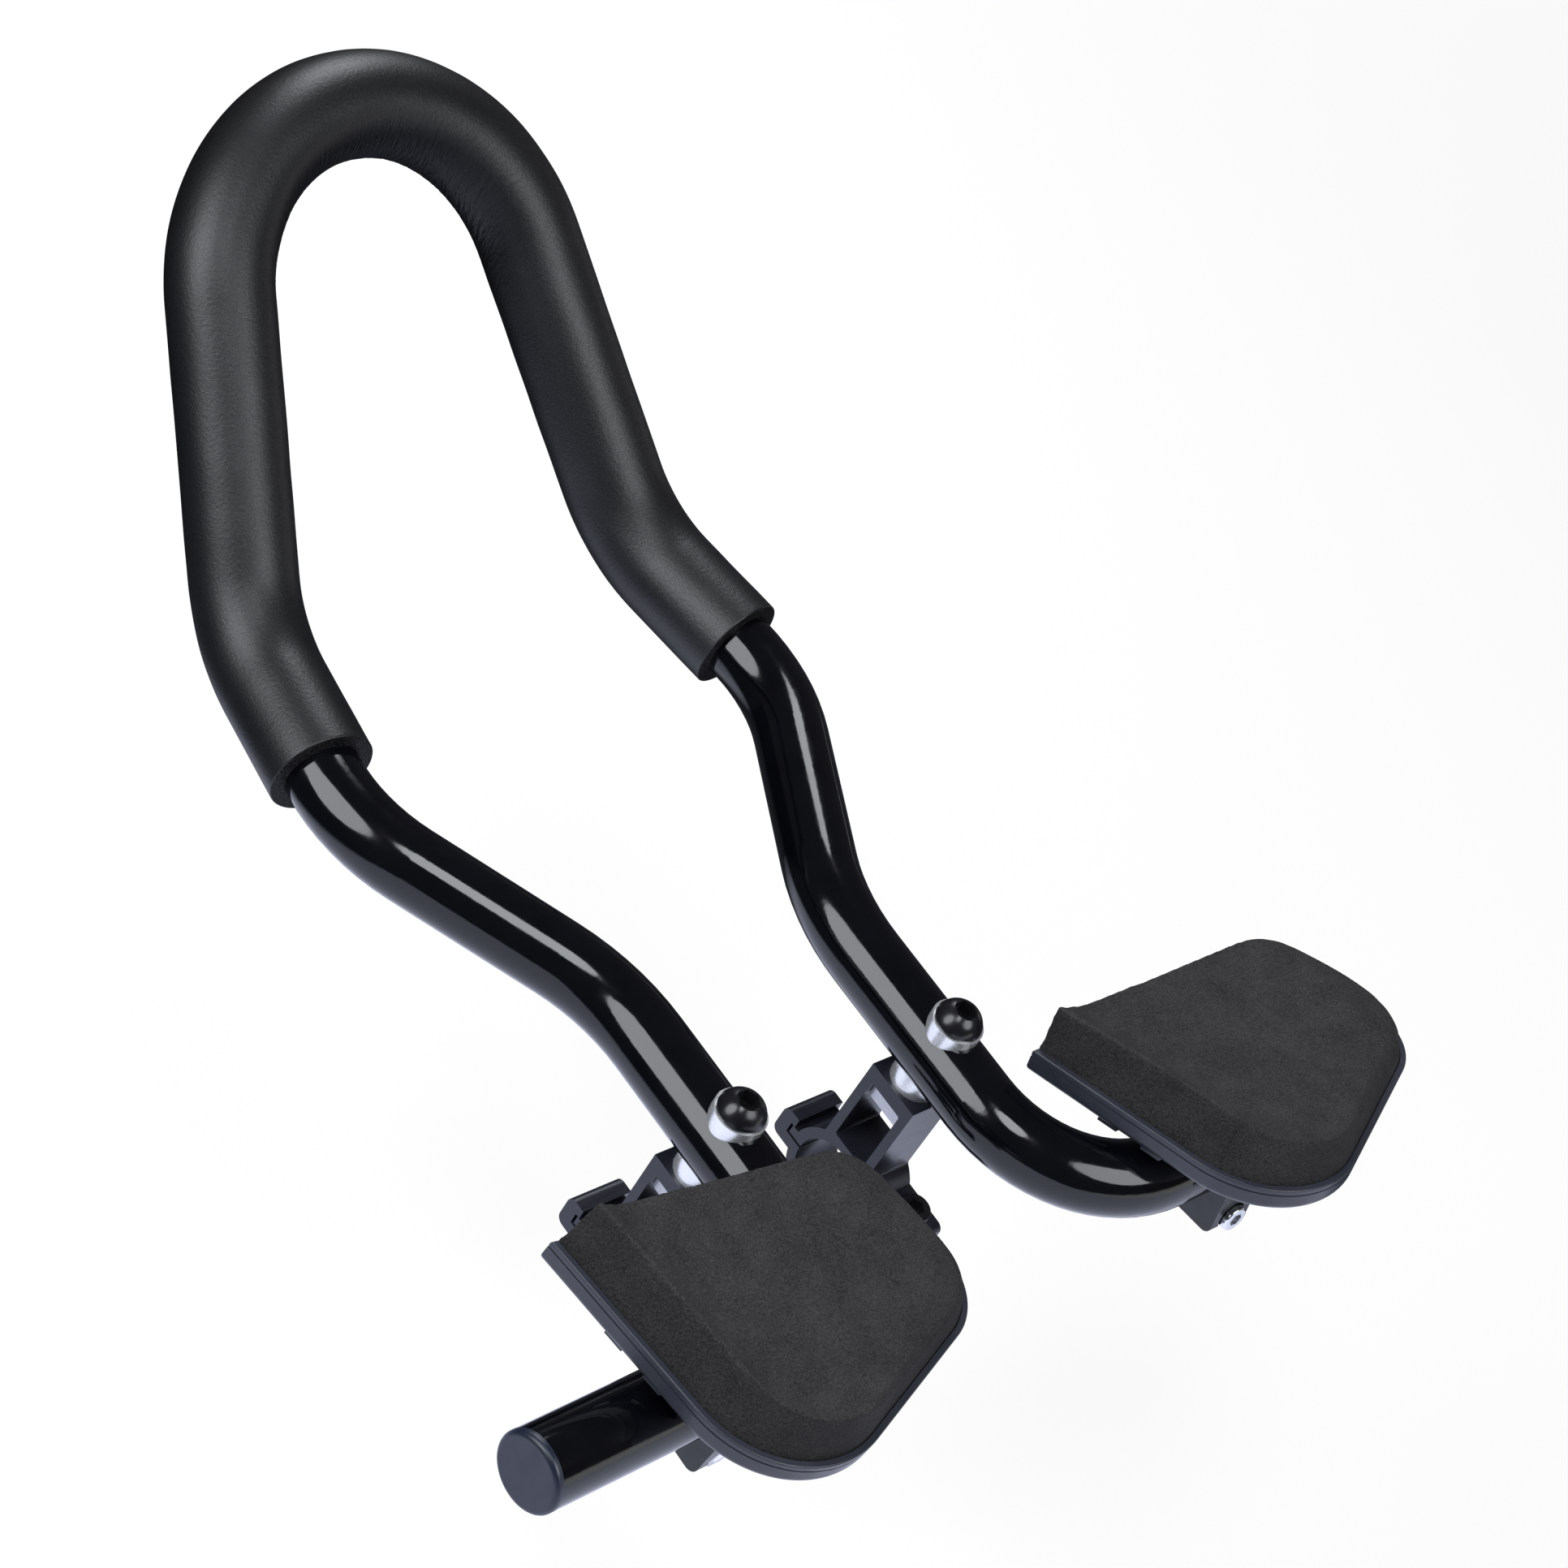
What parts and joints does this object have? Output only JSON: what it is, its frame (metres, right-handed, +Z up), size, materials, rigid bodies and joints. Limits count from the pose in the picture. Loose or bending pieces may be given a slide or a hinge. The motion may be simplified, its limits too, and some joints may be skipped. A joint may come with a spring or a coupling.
{
  "type": "aero handlebar extension",
  "caption": "One-piece U-shaped clip-on aero bar: bent tube with a foam grip loop, hook clamps for a bicycle handlebar and padded armrests on its out-turned tails.",
  "frame": {"origin": "on the axis of the handlebar that the clamps close on, midway between the two clamps", "axes": "+X to the rider's right along the handlebar, +Y forward, +Z up"},
  "size_m": [0.3261, 0.418, 0.1803],
  "materials": {
    "gloss_black_paint": "gloss black coat on aluminium tube",
    "grip_foam": "matte closed-cell foam with a moulded skin",
    "cap_plastic": "satin dark grey plastic",
    "black_anodised": "satin black anodised extrusion",
    "chrome_ring": "bright chrome",
    "plain_steel": "zinc-plated steel",
    "black_bolt": "gloss black steel",
    "bracket_plastic": "satin black moulding",
    "bright_screw": "bright plated steel",
    "cup_plastic": "satin black moulding",
    "pad_foam": "matte dark grey foam"
  },
  "bodies": {
    "root": {"bar_tube": "gloss_black_paint", "foam_grip": "grip_foam", "left_armrest_bracket": "bracket_plastic", "left_armrest_cup": "cup_plastic", "left_armrest_pad": "pad_foam", "left_bar_bolt": "black_bolt", "left_bolt_ring": "chrome_ring", "left_bracket_nut": "plain_steel", "left_bracket_screw": "bright_screw", "left_cup_screw": "plain_steel", "left_end_cap": "cap_plastic", "left_jaw_bolt": "black_bolt", "left_jaw_nut": "plain_steel", "left_lower_jaw": "black_anodised", "left_nut_block": "plain_steel", "left_saddle_ring": "chrome_ring", "left_upper_jaw": "black_anodised", "right_armrest_bracket": "bracket_plastic", "right_armrest_cup": "cup_plastic", "right_armrest_pad": "pad_foam", "right_bar_bolt": "black_bolt", "right_bolt_ring": "chrome_ring", "right_bracket_nut": "plain_steel", "right_bracket_screw": "bright_screw", "right_cup_screw": "plain_steel", "right_end_cap": "cap_plastic", "right_jaw_bolt": "black_bolt", "right_jaw_nut": "plain_steel", "right_lower_jaw": "black_anodised", "right_nut_block": "plain_steel", "right_saddle_ring": "chrome_ring", "right_upper_jaw": "black_anodised"}
  },
  "joints": []
}
